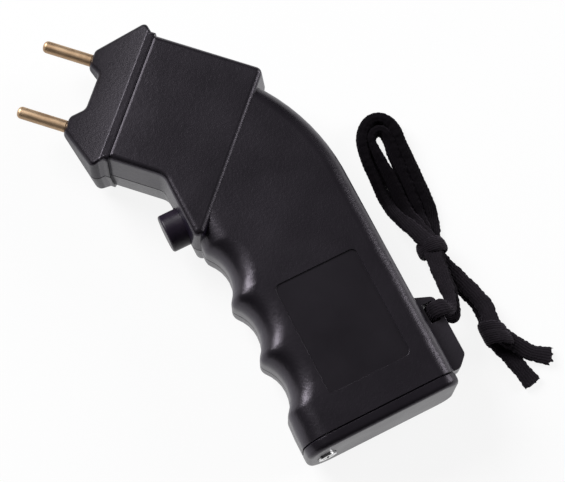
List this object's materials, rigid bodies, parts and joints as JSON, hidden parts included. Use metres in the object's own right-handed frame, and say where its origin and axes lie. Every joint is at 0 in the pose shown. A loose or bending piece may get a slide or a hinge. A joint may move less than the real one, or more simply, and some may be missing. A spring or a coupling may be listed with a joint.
{
  "type": "cattle prodder",
  "caption": "Pistol-shaped hand-held cattle prodder: flared nose with electrodes, thumb-side push button, finger-grooved grip, screwed end cap and a knotted wrist cord.",
  "frame": {"origin": "middle of the head's resting side face, on the head's long axis", "axes": "+Z through the thickness, away from the surface that it lies on; -X towards the electrodes; +Y towards the back of the head"},
  "size_m": [0.1949, 0.1229, 0.03],
  "materials": {
    "housing": "fine spark-eroded texture, low gloss",
    "cap": "smooth moulded, low gloss",
    "button": "polished",
    "electrode": "turned, worn bright",
    "brass_nut": "plain",
    "steel": "zinc plated",
    "cap_screw": "bright plated",
    "board": "green solder mask",
    "core": "dull ferrite",
    "winding": "enamelled copper wire",
    "potting": "cast resin block",
    "capacitor": "dipped film capacitor",
    "transistor": "moulded",
    "lead_red": "insulated lead",
    "lead_yellow": "insulated lead",
    "lead_black": "insulated leads, one red and one black",
    "switch": "moulded",
    "plunger": "moulded",
    "battery": null,
    "snap": "moulded",
    "cord": "flat braid"
  },
  "bodies": {
    "housing": {"shell_near": "housing", "shell_far": "housing", "shell_screws": "steel", "electrode_upper": "electrode", "electrode_lower": "electrode", "electrode_nuts": "brass_nut", "electrode_tags": "steel", "circuit_board": "board", "transformer_core": "core", "transformer_winding": "winding", "hv_module": "potting", "storage_capacitor": "capacitor", "driver_transistor": "transistor", "electrode_leads": "lead_red", "button_spring": "steel", "switch_body": "switch", "switch_leads": "lead_yellow", "battery": "battery", "battery_snap": "snap", "battery_leads": "lead_black", "cap_nut": "steel", "wrist_cord": "cord", "gather_knot": "cord", "tail_knot": "cord"},
    "button": {"trigger_button": "button"},
    "plunger": {"switch_plunger": "plunger"},
    "cap": {"end_cap": "cap"},
    "screw": {"cap_screw": "cap_screw"}
  },
  "joints": [
    {"name": "button_press", "type": "slide", "parent": "housing", "child": "button", "axis": [0.7071, 0.7071, 0], "range_m": [0, 0.0025], "stiffness_N_per_m": 800, "springref_m": -0.002, "deforming": ["button_spring"]},
    {"name": "plunger_press", "type": "slide", "parent": "housing", "child": "plunger", "axis": [0.7071, 0.7071, 0], "range_m": [0, 0.0025]},
    {"name": "cap_pull", "type": "slide", "parent": "housing", "child": "cap", "axis": [0.7071, -0.7071, 0], "range_m": [0, 0.06]},
    {"name": "cap_screw_turn", "type": "hinge", "parent": "cap", "child": "screw", "pos_m": [0.07856, -0.08973, 0.015], "axis": [0.7071, -0.7071, 0], "continuous": true}
  ],
  "couplings": [
    {"joint": "plunger_press", "follows": "button_press", "ratio": 1}
  ]
}
